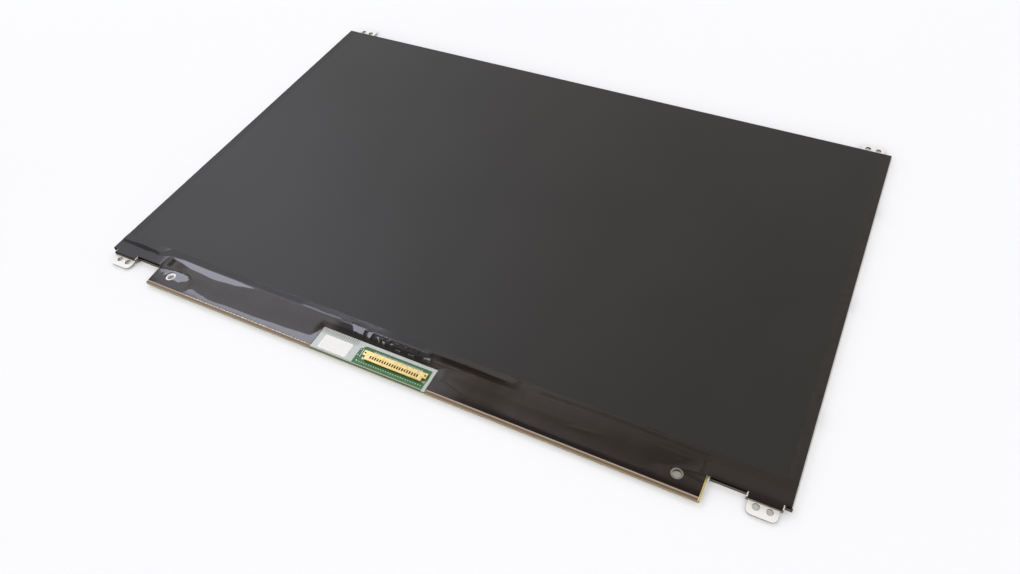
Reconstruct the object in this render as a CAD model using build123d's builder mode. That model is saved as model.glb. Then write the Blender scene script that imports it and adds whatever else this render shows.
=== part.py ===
"""Slim edge-lit laptop screen panel, lying face up.

Millimetres. X runs across the screen, Y from the control board's edge to the far edge, Z up.
The origin is under the middle of the whole panel, on the surface that it lies on.
"""
import os

from build123d import *

os.makedirs("parts", exist_ok=True)

# Visible picture area, and the body's margins at its sides and behind it
active_width = 261.12
active_depth = 163.2
body_side_margin = 5.44
body_back_margin = 2.5

# Rear cover: one stamped sheet with side flanges and four ears
cover_sheet = 0.4
flange_top = 2.2
cover_corner_radius = 1.2
flange_clearance = 0.05
field_lift = 0.15
field_border = 9.0
field_corner_radius = 4.0

# Ears: each is bent up a little from the cover's floor and has two screw holes
ear_inset = 3.2
ear_reach = 6.2
ear_lift = 0.6
ear_bend_run = 1.2
ear_corner_radius = 1.8
ear_relief = 0.5
gusset_top = 2.6
ear_hole_reach = 3.2
ear_outer_hole_inset = 2.6
ear_inner_hole_inset = 2.7
ear_hole_spacing = 4.2
ear_outer_hole_diameter = 2.2
ear_inner_hole_diameter = 2.4

# Catches on the frame that snap into windows in the flanges
catch_length = 6.0
catch_height = 0.6
catch_level = 1.3
catch_depth = 0.3
catch_clearance = 0.2
side_catch_count = 3
side_catch_inset = 35.5
back_catch_count = 4
back_catch_inset = 49.0

# Optical stack, from the floor up
reflector_thickness = 0.1
guide_thickness = 0.6
diffuser_thickness = 0.13
prism_thickness = 0.13
guide_side_margin = 0.9
guide_back_margin = 0.6
sheet_step = 0.15
stack_clearance = 0.2
sheet_headroom = 0.05

# Mould frame: walls around the stack and a ledge that carries the glass
ledge_thickness = 0.2
ledge_overlap = 0.3
rim_tape_thickness = 0.1
front_wall_back = 3.0
boss_reach = 1.8
boss_side_margin = 0.4
boss_clearance = 0.05

# Glass cell and its films
rear_polariser_thickness = 0.2
array_thickness = 0.4
filter_thickness = 0.4
front_polariser_thickness = 0.2
polariser_side_margin = 1.25
polariser_end_margin = 0.8
film_clearance = 0.15
filter_side_margin = 0.5
filter_back_margin = 0.4
filter_front_margin = 3.5
bond_ledge = 2.8
glass_corner_chamfer = 0.6
glass_clearance = 0.15

# Lamp bar along the front edge, and its tail to the control board
led_count = 30
led_end_inset = 5.46
led_length = 3.0
led_depth = 1.0
led_height = 0.55
led_gap = 0.1
lamp_strip_thickness = 0.1
lamp_strip_depth = 3.2
lamp_strip_front_gap = 0.2
lamp_strip_end_gap = 1.5
tail_width = 6.0
tail_inset = 28.5
tail_reach = 3.2
tail_clearance = 0.15
tail_socket_length = 8.4
tail_socket_depth = 3.0
tail_socket_gap = 1.2

# Control board
board_end_inset = 25.5
board_reach = 9.1
board_tuck = 1.2
board_thickness = 0.9
board_top = 1.9
board_gap = 0.3
board_corner_radius = 0.4
finger_depth = 1.3
finger_gap = 0.1
finger_rise = 0.3
board_hole_diameter = 2.8
board_hole_reach = 2.8
board_hole_left_inset = 7.3
board_hole_right_inset = 9.0
plating = 0.05
ring_width = 0.55

# Driver films from the glass to the board, and the chips beside them on the glass
source_count = 4
source_end_inset = 29.5
source_glass_gap = 0.7
source_film_width = 30.0
source_film_thickness = 0.05
source_bond_depth = 0.8
source_board_lap = 0.9
source_slope_end = 0.8
source_chip_length = 22.0
source_chip_depth = 1.1
source_chip_height = 0.25
source_chip_gap = 0.25

# Black tapes
tape_thickness = 0.06
tape_edge_inset = 0.45
tape_screen_gap = 0.15
tape_board_margin = 1.3
tape_end_margin = 0.6
tape_fold_height = 0.23
tape_fold_forward = 0.2
tape_hole_margin = 0.25
tape_joint = 0.1

# Window in the tape, with the shield film and the blank label in it
window_tuck = 0.9
shield_thickness = 0.06
shield_clearance = 0.2
shield_board_margin = 0.8
shield_left_width = 17.8
shield_right_width = 1.1
shield_socket_gap_left = 2.3
shield_socket_gap_right = 0.6
shield_opening_reach = 1.1
shield_opening_chamfer = 1.6
label_length = 12.0
label_depth = 6.0
label_thickness = 0.08
label_inset = 8.5
label_reach = 4.7
label_corner_radius = 0.8

# Flat cable socket on the board
pin_count = 40
pin_pitch = 0.5
pin_width = 0.2
pin_thickness = 0.15
pin_tail = 1.1
pin_clearance = 0.04
socket_x = 0.45
socket_front_reach = 6.0
socket_end_wall = 1.0
socket_depth = 3.6
socket_height = 0.95
mouth_end_gap = 0.65
mouth_depth = 2.6
mouth_height = 0.4
mouth_floor = 0.28
shell_sheet = 0.12
shell_fit = 0.03
shell_slot_width = 0.55
shell_slot_length = 1.3
shell_slot_setback = 0.8
shell_hole_diameter = 0.7
shell_hole_inset = 0.6
wing_length = 1.3
wing_depth = 2.2
pad_count = 27
pad_pitch = 1.0
pad_length = 0.45
pad_depth = 0.3
pad_thickness = 0.03
pad_gap = 1.1
pad_offset = 0.85
anchor_pad_depth = 1.1
anchor_pad_gap = 0.1

# Chips and small parts under the board
chip_edge = 0.1
controller_size = 7.0
controller_height = 0.8
controller_gap = 15.0
converter_size = 4.0
converter_height = 0.75
converter_gap = 14.0
lamp_driver_size = 4.0
lamp_driver_height = 0.75
lamp_driver_gap = 16.0
memory_length = 4.9
memory_depth = 3.9
memory_height = 0.75
memory_gap = 20.0
inductor_size = 4.2
inductor_height = 0.8
inductor_gap = 7.5
small_length = 1.6
small_depth = 0.8
capacitor_height = 0.8
resistor_height = 0.45
small_pitch = 3.2
small_row_pitch = 4.6
capacitor_columns = 8
capacitor_gap = 24.5
resistor_columns = 6
resistor_inset = 40.5
parts_reach = 4.6

# The body's depth, added up from its front edge
recess_depth = board_tuck + board_gap
cell_front_depth = bond_ledge + filter_front_margin + polariser_end_margin
active_inset = recess_depth + source_glass_gap + cell_front_depth
body_depth = active_inset + active_depth + body_back_margin

# Places along Y: the whole panel is centred on the origin
body_front = (board_reach - ear_reach - body_depth) / 2
body_back = body_front + body_depth
active_front = body_front + active_inset
active_back = active_front + active_depth
polariser_front = active_front - polariser_end_margin
polariser_back = active_back + polariser_end_margin
filter_front = polariser_front - filter_front_margin
filter_back = polariser_back + filter_back_margin
array_front = filter_front - bond_ledge
strip_front = body_front + front_wall_back + lamp_strip_front_gap
strip_back = strip_front + lamp_strip_depth
guide_front = strip_back + led_gap
guide_back = active_back + guide_back_margin
frame_back = body_back - cover_sheet - flange_clearance
frame_recess = body_front + recess_depth
board_front = body_front - board_reach
board_back = body_front + board_tuck
tape_upper = polariser_front - tape_screen_gap
tape_lower = board_front + tape_board_margin
parts_y = body_front - parts_reach

# Places along X
body_width = active_width + 2 * body_side_margin
body_side = body_width / 2
frame_side = body_side - cover_sheet - flange_clearance
polariser_width = active_width + 2 * polariser_side_margin
filter_width = polariser_width + 2 * filter_side_margin
guide_width = active_width + 2 * guide_side_margin
board_side = body_side - board_end_inset
ear_width = ear_outer_hole_inset + ear_hole_spacing + ear_inner_hole_inset
ear_x = body_side - ear_inset - ear_width / 2
board_hole_left = -board_side + board_hole_left_inset
board_hole_right = board_side - board_hole_right_inset
tail_x = -board_side + tail_inset
source_pitch = 2 * (board_side - source_end_inset) / (source_count - 1)
side_catch_pitch = (body_depth - 2 * side_catch_inset) / (side_catch_count - 1)
back_catch_pitch = (body_width - 2 * back_catch_inset) / (back_catch_count - 1)

# Places along X, around the socket
mouth_length = (pin_count - 1) * pin_pitch + 2 * mouth_end_gap
socket_length = mouth_length + 2 * socket_end_wall
shell_half = socket_length / 2 + shell_fit + shell_sheet
wing_end = shell_half + wing_length
opening_left = socket_x - wing_end - shield_socket_gap_left
opening_right = socket_x + wing_end + shield_socket_gap_right
shield_left = opening_left - shield_left_width
shield_right = opening_right + shield_right_width
window_left = shield_left - shield_clearance
window_right = shield_right + shield_clearance
label_x = shield_left + label_inset
pad_x = socket_x - pad_offset

# Places along X, under the board
lamp_driver_x = tail_x + lamp_driver_gap
converter_x = lamp_driver_x + converter_gap
inductor_x = converter_x + inductor_gap
capacitor_x = inductor_x + capacitor_gap
resistor_x = board_side - resistor_inset
memory_x = resistor_x - memory_gap
controller_x = memory_x - controller_gap

# Heights
reflector_bottom = cover_sheet + field_lift
guide_bottom = reflector_bottom + reflector_thickness
diffuser_bottom = guide_bottom + guide_thickness
lower_prism_bottom = diffuser_bottom + diffuser_thickness
upper_prism_bottom = lower_prism_bottom + prism_thickness
ledge_bottom = upper_prism_bottom + prism_thickness + sheet_headroom
ledge_top = ledge_bottom + ledge_thickness
array_bottom = ledge_top + rim_tape_thickness
array_top = array_bottom + array_thickness
filter_top = array_top + filter_thickness
board_bottom = board_top - board_thickness
ear_top = ear_lift + cover_sheet


def save(piece, name):
    """Label a finished piece and write it as its own file."""
    piece.part.label = name
    export_step(piece.part, f"parts/{name}.step")


def plate(name, width, front, back, bottom, thickness, chamfer_size=0.0):
    """A flat sheet, centred across the panel, between two places along Y."""
    with BuildPart() as sheet:
        with BuildSketch(Plane.XY.offset(bottom)):
            with Locations((0, (front + back) / 2)):
                Rectangle(width, back - front)
        extrude(amount=thickness)
        if chamfer_size:
            chamfer(sheet.edges().filter_by(Axis.Z), length=chamfer_size)
    save(sheet, name)


def slab(left, right, front, back, bottom, top, mode=Mode.ADD):
    """A square block in the part that is being built, given by its six faces."""
    with Locations(((left + right) / 2, (front + back) / 2, (bottom + top) / 2)):
        Box(right - left, back - front, top - bottom, mode=mode)


# Rear cover: tray floor and flanges on the two sides and the back, open at the front
catch_window_length = catch_length + 2 * catch_clearance
catch_window_height = catch_height + 2 * catch_clearance
flange_inner_side = body_side - cover_sheet
flange_inner_back = body_back - cover_sheet
boss_half = ear_width / 2 + boss_side_margin
with BuildPart() as rear_cover:
    slab(-body_side, body_side, body_front, body_back, 0, flange_top)
    back_corners = rear_cover.edges().filter_by(Axis.Z).group_by(Axis.Y)[-1]
    fillet(back_corners, radius=cover_corner_radius)
    slab(
        -flange_inner_side,
        flange_inner_side,
        body_front,
        flange_inner_back,
        cover_sheet,
        flange_top,
        mode=Mode.SUBTRACT,
    )
    # A broad field of the floor is stamped inwards, to stiffen it
    field_middle = (body_front + body_back) / 2
    for field_bottom, field_mode in ((cover_sheet, Mode.ADD), (0, Mode.SUBTRACT)):
        with BuildSketch(Plane.XY.offset(field_bottom)):
            with Locations((0, field_middle)):
                RectangleRounded(
                    body_width - 2 * field_border,
                    body_depth - 2 * field_border,
                    field_corner_radius,
                )
        extrude(amount=field_lift, mode=field_mode)
    # The back flange is cut away where the two far ears leave the floor
    for side in (-1, 1):
        relief_half = ear_width / 2 + ear_relief
        slab(
            side * ear_x - relief_half,
            side * ear_x + relief_half,
            flange_inner_back,
            body_back,
            cover_sheet,
            flange_top,
            mode=Mode.SUBTRACT,
        )
    # Windows for the frame's catches
    with Locations((0, (body_front + body_back) / 2, catch_level)):
        with GridLocations(2 * body_side - cover_sheet, side_catch_pitch, 2, side_catch_count):
            Box(cover_sheet, catch_window_length, catch_window_height, mode=Mode.SUBTRACT)
    with Locations((0, body_back - cover_sheet / 2, catch_level)):
        with GridLocations(back_catch_pitch, 0, back_catch_count, 1):
            Box(catch_window_length, cover_sheet, catch_window_height, mode=Mode.SUBTRACT)
    # Ears at both edges: a short slope up from the floor, then a flat tongue
    for edge, outward in ((body_front, -1), (body_back, 1)):
        for side in (-1, 1):
            ear_plane = Plane.YZ.offset(side * ear_x - ear_width / 2)
            with BuildSketch(ear_plane):
                with BuildLine():
                    Polyline(
                        (edge, 0),
                        (edge + outward * ear_bend_run, ear_lift),
                        (edge + outward * ear_reach, ear_lift),
                        (edge + outward * ear_reach, ear_top),
                        (edge + outward * ear_bend_run, ear_top),
                        (edge, cover_sheet),
                        close=True,
                    )
                make_face()
            extrude(amount=ear_width)
        ear_tips = rear_cover.edges().filter_by(Axis.Z)
        ear_tips = ear_tips.filter_by_position(Axis.Z, ear_lift, ear_top)
        tip_line = edge + outward * ear_reach
        tip_reach = ear_reach / 2
        ear_tips = ear_tips.filter_by_position(Axis.Y, tip_line - tip_reach, tip_line + tip_reach)
        fillet(ear_tips, radius=ear_corner_radius)
        hole_line = edge + outward * ear_hole_reach
        for side in (-1, 1):
            outer_x = side * (body_side - ear_inset - ear_outer_hole_inset)
            inner_x = outer_x - side * ear_hole_spacing
            with Locations((outer_x, hole_line, ear_top)):
                Hole(radius=ear_outer_hole_diameter / 2, depth=cover_sheet)
            with Locations((inner_x, hole_line, ear_top)):
                Hole(radius=ear_inner_hole_diameter / 2, depth=cover_sheet)
    # Upright gussets on both sides of each near ear's root
    for side in (-1, 1):
        for hand in (-1, 1):
            gusset_inner = side * ear_x + hand * (boss_half + boss_clearance)
            near, far = sorted((gusset_inner, gusset_inner + hand * cover_sheet))
            slab(near, far, body_front - boss_reach, body_front, ear_lift, gusset_top)
        root_half = boss_half + boss_clearance + cover_sheet
        with BuildSketch(Plane.YZ.offset(side * ear_x - root_half)):
            with BuildLine():
                Polyline(
                    (body_front, 0),
                    (body_front - ear_bend_run, ear_lift),
                    (body_front - boss_reach, ear_lift),
                    (body_front - boss_reach, ear_top),
                    (body_front - ear_bend_run, ear_top),
                    (body_front, cover_sheet),
                    close=True,
                )
            make_face()
        extrude(amount=2 * root_half)
    # Upright finger against the right end of the control board
    slab(
        board_side + finger_gap,
        board_side + finger_gap + cover_sheet,
        body_front - finger_depth,
        body_front,
        0,
        board_top + finger_rise,
    )
save(rear_cover, "rear_cover")

# Mould frame: outer walls, a ledge for the glass, and a boss above each near ear
cavity_side = guide_width / 2 + stack_clearance
cavity_back = guide_back + stack_clearance
ledge_side = active_width / 2 + ledge_overlap
ledge_front = active_front - ledge_overlap
ledge_back = active_back + ledge_overlap
glass_pocket_side = filter_width / 2 + glass_clearance
glass_pocket_front = array_front - glass_clearance
glass_pocket_back = filter_back + glass_clearance
board_pocket_side = board_side + board_gap
with BuildPart() as mould_frame:
    slab(-frame_side, frame_side, body_front, frame_back, cover_sheet, filter_top)
    frame_corners = mould_frame.edges().filter_by(Axis.Z).group_by(Axis.Y)[-1]
    fillet(frame_corners, radius=cover_corner_radius)
    # Pocket for the optical stack, below the ledge
    slab(
        -cavity_side,
        cavity_side,
        body_front + front_wall_back,
        cavity_back,
        cover_sheet,
        ledge_bottom,
        mode=Mode.SUBTRACT,
    )
    # Opening that the light comes through
    slab(-ledge_side, ledge_side, ledge_front, ledge_back, ledge_bottom, ledge_top, mode=Mode.SUBTRACT)
    # Pocket for the glass, above the ledge
    slab(
        -glass_pocket_side,
        glass_pocket_side,
        glass_pocket_front,
        glass_pocket_back,
        ledge_top,
        filter_top,
        mode=Mode.SUBTRACT,
    )
    # Recess along the front for the control board, and the gap that the driver films pass through
    slab(
        -board_pocket_side,
        board_pocket_side,
        body_front,
        frame_recess,
        cover_sheet,
        filter_top,
        mode=Mode.SUBTRACT,
    )
    slab(
        -board_pocket_side,
        board_pocket_side,
        frame_recess,
        glass_pocket_front,
        ledge_top,
        filter_top,
        mode=Mode.SUBTRACT,
    )
    # Passage for the lamp bar's tail
    slab(
        tail_x - tail_width / 2 - tail_clearance,
        tail_x + tail_width / 2 + tail_clearance,
        frame_recess,
        body_front + front_wall_back,
        cover_sheet,
        cover_sheet + lamp_strip_thickness + tail_clearance,
        mode=Mode.SUBTRACT,
    )
    # Bosses above the near ears
    for side in (-1, 1):
        slab(
            side * ear_x - boss_half,
            side * ear_x + boss_half,
            body_front - boss_reach,
            body_front,
            ear_top + boss_clearance,
            filter_top,
        )
    # Catches that stand in the cover's windows
    with Locations((0, (body_front + body_back) / 2, catch_level)):
        with GridLocations(2 * frame_side + catch_depth, side_catch_pitch, 2, side_catch_count):
            Box(catch_depth, catch_length, catch_height)
    with Locations((0, frame_back + catch_depth / 2, catch_level)):
        with GridLocations(back_catch_pitch, 0, back_catch_count, 1):
            Box(catch_length, catch_depth, catch_height)
save(mould_frame, "mould_frame")

# Optical stack: each loose sheet is a little smaller than the plate under it
plate(
    "reflector_sheet",
    guide_width,
    guide_front,
    guide_back,
    reflector_bottom,
    reflector_thickness,
)
plate("light_guide_plate", guide_width, guide_front, guide_back, guide_bottom, guide_thickness)
loose_sheets = (
    ("diffuser_sheet", diffuser_bottom, diffuser_thickness),
    ("lower_prism_sheet", lower_prism_bottom, prism_thickness),
    ("upper_prism_sheet", upper_prism_bottom, prism_thickness),
)
for step, (sheet_name, sheet_bottom, sheet_thickness) in enumerate(loose_sheets, start=1):
    trim = step * sheet_step
    plate(
        sheet_name,
        guide_width - 2 * trim,
        guide_front + trim,
        guide_back - trim,
        sheet_bottom,
        sheet_thickness,
    )

# Lamp bar: a flexible strip with a tail, and a row of side-firing lamps on it
strip_top = cover_sheet + lamp_strip_thickness
strip_side = cavity_side - lamp_strip_end_gap
led_pitch = 2 * (strip_side - led_end_inset) / (led_count - 1)
tail_front = body_front - tail_reach
with BuildPart() as led_flex_strip:
    slab(-strip_side, strip_side, strip_front, strip_back, cover_sheet, strip_top)
    slab(
        tail_x - tail_width / 2,
        tail_x + tail_width / 2,
        tail_front,
        strip_front,
        cover_sheet,
        strip_top,
    )
save(led_flex_strip, "led_flex_strip")

with BuildPart() as led_chips:
    with Locations((0, strip_back - led_depth / 2, strip_top)):
        with GridLocations(led_pitch, 0, led_count, 1):
            Box(led_length, led_depth, led_height, align=(Align.CENTER, Align.CENTER, Align.MIN))
save(led_chips, "led_chips")

# Socket under the board that takes the tail
tail_socket_back = body_front - tail_socket_gap
tail_socket_front = tail_socket_back - tail_socket_depth
tail_slot_half = tail_width / 2 + tail_clearance
with BuildPart() as led_tail_socket:
    slab(
        tail_x - tail_socket_length / 2,
        tail_x + tail_socket_length / 2,
        tail_socket_front,
        tail_socket_back,
        cover_sheet - tail_clearance,
        board_bottom,
    )
    slab(
        tail_x - tail_slot_half,
        tail_x + tail_slot_half,
        tail_front,
        tail_socket_back,
        cover_sheet,
        strip_top + tail_clearance,
        mode=Mode.SUBTRACT,
    )
save(led_tail_socket, "led_tail_socket")

# Glass cell with its films
plate(
    "rear_polariser",
    2 * (ledge_side - film_clearance),
    ledge_front + film_clearance,
    ledge_back - film_clearance,
    array_bottom - rear_polariser_thickness,
    rear_polariser_thickness,
)
plate(
    "array_glass",
    filter_width,
    array_front,
    filter_back,
    array_bottom,
    array_thickness,
    glass_corner_chamfer,
)
plate(
    "colour_filter_glass",
    filter_width,
    filter_front,
    filter_back,
    array_top,
    filter_thickness,
    glass_corner_chamfer,
)
plate(
    "front_polariser",
    polariser_width,
    polariser_front,
    polariser_back,
    filter_top,
    front_polariser_thickness,
)

# Rim tape: a thin ring between the frame's ledge and the glass
with BuildPart() as rim_tape:
    slab(-filter_width / 2, filter_width / 2, array_front, filter_back, ledge_top, array_bottom)
    slab(-ledge_side, ledge_side, ledge_front, ledge_back, ledge_top, array_bottom, mode=Mode.SUBTRACT)
save(rim_tape, "rim_tape")

# Control board with its two round holes
board_bore = board_hole_diameter + 2 * plating
board_holes = (
    (board_hole_left, body_front - board_hole_reach),
    (board_hole_right, body_front - board_hole_reach),
)
with BuildPart() as control_board:
    slab(-board_side, board_side, board_front, board_back, board_bottom, board_top)
    fillet(control_board.edges().filter_by(Axis.Z), radius=board_corner_radius)
    for hole_x, hole_y in board_holes:
        with Locations((hole_x, hole_y, board_top)):
            Hole(radius=board_bore / 2, depth=board_thickness)
save(control_board, "control_board")

# Plated rings: a lined bore with a flat collar on each face of the board
ring_diameter = board_bore + 2 * ring_width
with BuildPart() as ground_rings:
    for hole_x, hole_y in board_holes:
        with BuildSketch(Plane.XY.offset(board_bottom)):
            with Locations((hole_x, hole_y)):
                Circle(board_bore / 2)
                Circle(board_hole_diameter / 2, mode=Mode.SUBTRACT)
        extrude(amount=board_thickness)
        for collar_bottom in (board_bottom - plating, board_top):
            with BuildSketch(Plane.XY.offset(collar_bottom)):
                with Locations((hole_x, hole_y)):
                    Circle(ring_diameter / 2)
                    Circle(board_hole_diameter / 2, mode=Mode.SUBTRACT)
            extrude(amount=plating)
save(ground_rings, "ground_rings")

# Driver films: bonded on the glass ledge, down a short slope, and bonded on the board
film_bond_back = array_front + source_bond_depth
film_slope_front = body_front + source_slope_end
film_front = film_slope_front - source_board_lap
chip_front = film_bond_back + source_chip_gap
for number in range(1, source_count + 1):
    source_x = (number - (source_count + 1) / 2) * source_pitch
    with BuildPart() as source_film:
        with BuildSketch(Plane.YZ.offset(source_x - source_film_width / 2)):
            with BuildLine():
                Polyline(
                    (film_bond_back, array_top),
                    (array_front, array_top),
                    (film_slope_front, board_top),
                    (film_front, board_top),
                    (film_front, board_top + source_film_thickness),
                    (film_slope_front, board_top + source_film_thickness),
                    (array_front, array_top + source_film_thickness),
                    (film_bond_back, array_top + source_film_thickness),
                    close=True,
                )
            make_face()
        extrude(amount=source_film_width)
    save(source_film, f"source_film_{number}")
    with BuildPart() as source_driver:
        slab(
            source_x - source_chip_length / 2,
            source_x + source_chip_length / 2,
            chip_front,
            chip_front + source_chip_depth,
            array_top,
            array_top + source_chip_height,
        )
    save(source_driver, f"source_driver_{number}")

# Shading tape: flat on the glass, folded down over the driver films, flat on the board
tape_floor = board_top + shield_thickness
tape_bend_top = array_top + tape_fold_height
tape_side = body_side - tape_edge_inset
tape_left = -board_side
tape_right = board_side - tape_end_margin
tape_hole_diameter = ring_diameter + 2 * tape_hole_margin
with BuildPart() as shading_tape:
    with BuildSketch(Plane.YZ.offset(tape_left)):
        with BuildLine():
            Polyline(
                (tape_upper, filter_top),
                (filter_front, filter_top),
                (array_front, tape_bend_top),
                (body_front - tape_fold_forward, tape_floor),
                (tape_lower, tape_floor),
                (tape_lower, tape_floor + tape_thickness),
                (body_front - tape_fold_forward, tape_floor + tape_thickness),
                (array_front, tape_bend_top + tape_thickness),
                (filter_front, filter_top + tape_thickness),
                (tape_upper, filter_top + tape_thickness),
                close=True,
            )
        make_face()
    extrude(amount=tape_right - tape_left)
    # Flat ends over the frame's front corners, with a tongue over each boss
    tape_top = filter_top + tape_thickness
    for side, inner in ((-1, tape_left), (1, tape_right)):
        near, far = sorted((inner, side * tape_side))
        slab(near, far, body_front, tape_upper, filter_top, tape_top)
        slab(
            side * ear_x - boss_half,
            side * ear_x + boss_half,
            body_front - boss_reach,
            body_front,
            filter_top,
            tape_top,
        )
    # Window over the socket, and round holes over the plated rings
    slab(
        window_left,
        window_right,
        tape_lower,
        body_front + window_tuck,
        board_top,
        tape_top,
        mode=Mode.SUBTRACT,
    )
    for hole_x, hole_y in board_holes:
        with Locations((hole_x, hole_y, tape_top)):
            Hole(radius=tape_hole_diameter / 2, depth=tape_top - board_top)
save(shading_tape, "shading_tape")

# Narrow black tapes over the rim beside the screen film
side_tape_inner = polariser_width / 2 + film_clearance
side_tape_front = tape_upper + tape_joint
side_tape_back = body_back - tape_edge_inset
for side, tape_name in ((-1, "edge_tape_left"), (1, "edge_tape_right")):
    near, far = sorted((side * side_tape_inner, side * tape_side))
    with BuildPart() as side_tape:
        slab(near, far, side_tape_front, side_tape_back, filter_top, filter_top + tape_thickness)
    save(side_tape, tape_name)
plate(
    "edge_tape_top",
    2 * (side_tape_inner - tape_joint),
    polariser_back + film_clearance,
    side_tape_back,
    filter_top,
    tape_thickness,
)

# Shield film in the window: broad on the left, a narrow border above and right of the socket
shield_back = film_front - film_clearance
shield_front = board_front + shield_board_margin
opening_back = body_front - shield_opening_reach
with BuildPart() as shield_film:
    with BuildSketch(Plane.XY.offset(board_top)):
        with BuildLine():
            Polyline(
                (shield_left, shield_front),
                (opening_left, shield_front),
                (opening_left, opening_back - shield_opening_chamfer),
                (opening_left + shield_opening_chamfer, opening_back),
                (opening_right, opening_back),
                (opening_right, shield_front),
                (shield_right, shield_front),
                (shield_right, shield_back),
                (shield_left, shield_back),
                close=True,
            )
        make_face()
    extrude(amount=shield_thickness)
save(shield_film, "shield_film")

# Blank label on the shield film
with BuildPart() as blank_label:
    with BuildSketch(Plane.XY.offset(board_top + shield_thickness)):
        with Locations((label_x, body_front - label_reach)):
            RectangleRounded(label_length, label_depth, label_corner_radius)
    extrude(amount=label_thickness)
save(blank_label, "blank_label")

# Socket housing: a low block with a mouth in front, a groove for every contact and slots in its roof
socket_front = body_front - socket_front_reach
socket_back = socket_front + socket_depth
socket_top = board_top + socket_height
mouth_bottom = board_top + mouth_floor
mouth_top = mouth_bottom + mouth_height
slot_y = socket_front + shell_slot_setback + shell_slot_length / 2
slot_pitch = 2 * pin_pitch
slot_count = pin_count // 2
with BuildPart() as connector_housing:
    slab(
        socket_x - socket_length / 2,
        socket_x + socket_length / 2,
        socket_front,
        socket_back,
        board_top,
        socket_top,
    )
    slab(
        socket_x - mouth_length / 2,
        socket_x + mouth_length / 2,
        socket_front,
        socket_front + mouth_depth,
        mouth_bottom,
        mouth_top,
        mode=Mode.SUBTRACT,
    )
    with Locations((socket_x, slot_y, (mouth_top + socket_top) / 2)):
        with GridLocations(slot_pitch, 0, slot_count, 1):
            Box(shell_slot_width, shell_slot_length, socket_top - mouth_top, mode=Mode.SUBTRACT)
    with Locations((socket_x, (socket_front + socket_back) / 2, board_top)):
        with GridLocations(pin_pitch, 0, pin_count, 1):
            Box(
                pin_width + 2 * pin_clearance,
                socket_depth,
                mouth_floor,
                align=(Align.CENTER, Align.CENTER, Align.MIN),
                mode=Mode.SUBTRACT,
            )
save(connector_housing, "connector_housing")

# Contacts: one strip in each groove, with its soldered tail behind the housing
pin_front = socket_front + shell_slot_setback
pin_back = socket_back + pin_tail
with BuildPart() as connector_contacts:
    with Locations((socket_x, (pin_front + pin_back) / 2, board_top)):
        with GridLocations(pin_pitch, 0, pin_count, 1):
            Box(
                pin_width,
                pin_back - pin_front,
                pin_thickness,
                align=(Align.CENTER, Align.CENTER, Align.MIN),
            )
save(connector_contacts, "connector_contacts")

# Metal shell: a slotted lid over the housing, with a winged leg soldered down at each end
wing_front = socket_back - wing_depth
shell_bottom = socket_top + shell_fit
shell_top = shell_bottom + shell_sheet
with BuildPart() as connector_shell:
    slab(socket_x - shell_half, socket_x + shell_half, socket_front, socket_back, shell_bottom, shell_top)
    for side in (-1, 1):
        wall_outer = socket_x + side * shell_half
        leg_outer = socket_x + side * wing_end
        near, far = sorted((wall_outer, wall_outer - side * shell_sheet))
        slab(near, far, socket_front, socket_back, board_top, shell_bottom)
        near, far = sorted((wall_outer, leg_outer))
        slab(near, far, wing_front, socket_back, shell_bottom, shell_top)
        near, far = sorted((leg_outer - side * shell_sheet, leg_outer))
        slab(near, far, wing_front, socket_back, board_top, shell_bottom)
        with Locations((wall_outer + side * shell_hole_inset, socket_back - wing_depth / 2, shell_top)):
            Hole(radius=shell_hole_diameter / 2, depth=shell_sheet)
    with Locations((socket_x, slot_y, shell_bottom + shell_sheet / 2)):
        with GridLocations(slot_pitch, 0, slot_count, 1):
            Box(shell_slot_width, shell_slot_length, shell_sheet, mode=Mode.SUBTRACT)
save(connector_shell, "connector_shell")

# Bright pads on the board: a row in front of the socket, and one in front of each winged leg
anchor_back = wing_front - anchor_pad_gap
pad_y = socket_front - pad_gap
with BuildPart() as board_pads:
    with Locations((pad_x, pad_y, board_top)):
        with GridLocations(pad_pitch, 0, pad_count, 1):
            Box(
                pad_length,
                pad_depth,
                pad_thickness,
                align=(Align.CENTER, Align.CENTER, Align.MIN),
            )
    for side in (-1, 1):
        near, far = sorted((socket_x + side * (shell_half + anchor_pad_gap), socket_x + side * wing_end))
        slab(near, far, anchor_back - anchor_pad_depth, anchor_back, board_top, board_top + pad_thickness)
save(board_pads, "board_pads")

# Packages under the board, each with its lower edges broken
packages = (
    ("timing_controller", controller_x, controller_size, controller_size, controller_height),
    ("power_converter", converter_x, converter_size, converter_size, converter_height),
    ("led_driver", lamp_driver_x, lamp_driver_size, lamp_driver_size, lamp_driver_height),
    ("memory_chip", memory_x, memory_length, memory_depth, memory_height),
    ("power_inductor", inductor_x, inductor_size, inductor_size, inductor_height),
)
for package_name, package_x, package_length, package_depth, package_height in packages:
    with BuildPart() as package:
        slab(
            package_x - package_length / 2,
            package_x + package_length / 2,
            parts_y - package_depth / 2,
            parts_y + package_depth / 2,
            board_bottom - package_height,
            board_bottom,
        )
        chamfer(package.faces().sort_by(Axis.Z)[0].edges(), length=chip_edge)
    save(package, package_name)

# Small capacitors and resistors, in two rows under the board
small_groups = (
    ("board_capacitors", capacitor_x, capacitor_columns, capacitor_height),
    ("board_resistors", resistor_x, resistor_columns, resistor_height),
)
for group_name, group_x, group_columns, small_height in small_groups:
    with BuildPart() as small_group:
        with Locations((group_x, parts_y, board_bottom)):
            with GridLocations(small_pitch, small_row_pitch, group_columns, 2):
                Box(
                    small_length,
                    small_depth,
                    small_height,
                    align=(Align.CENTER, Align.CENTER, Align.MAX),
                )
    save(small_group, group_name)
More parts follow.
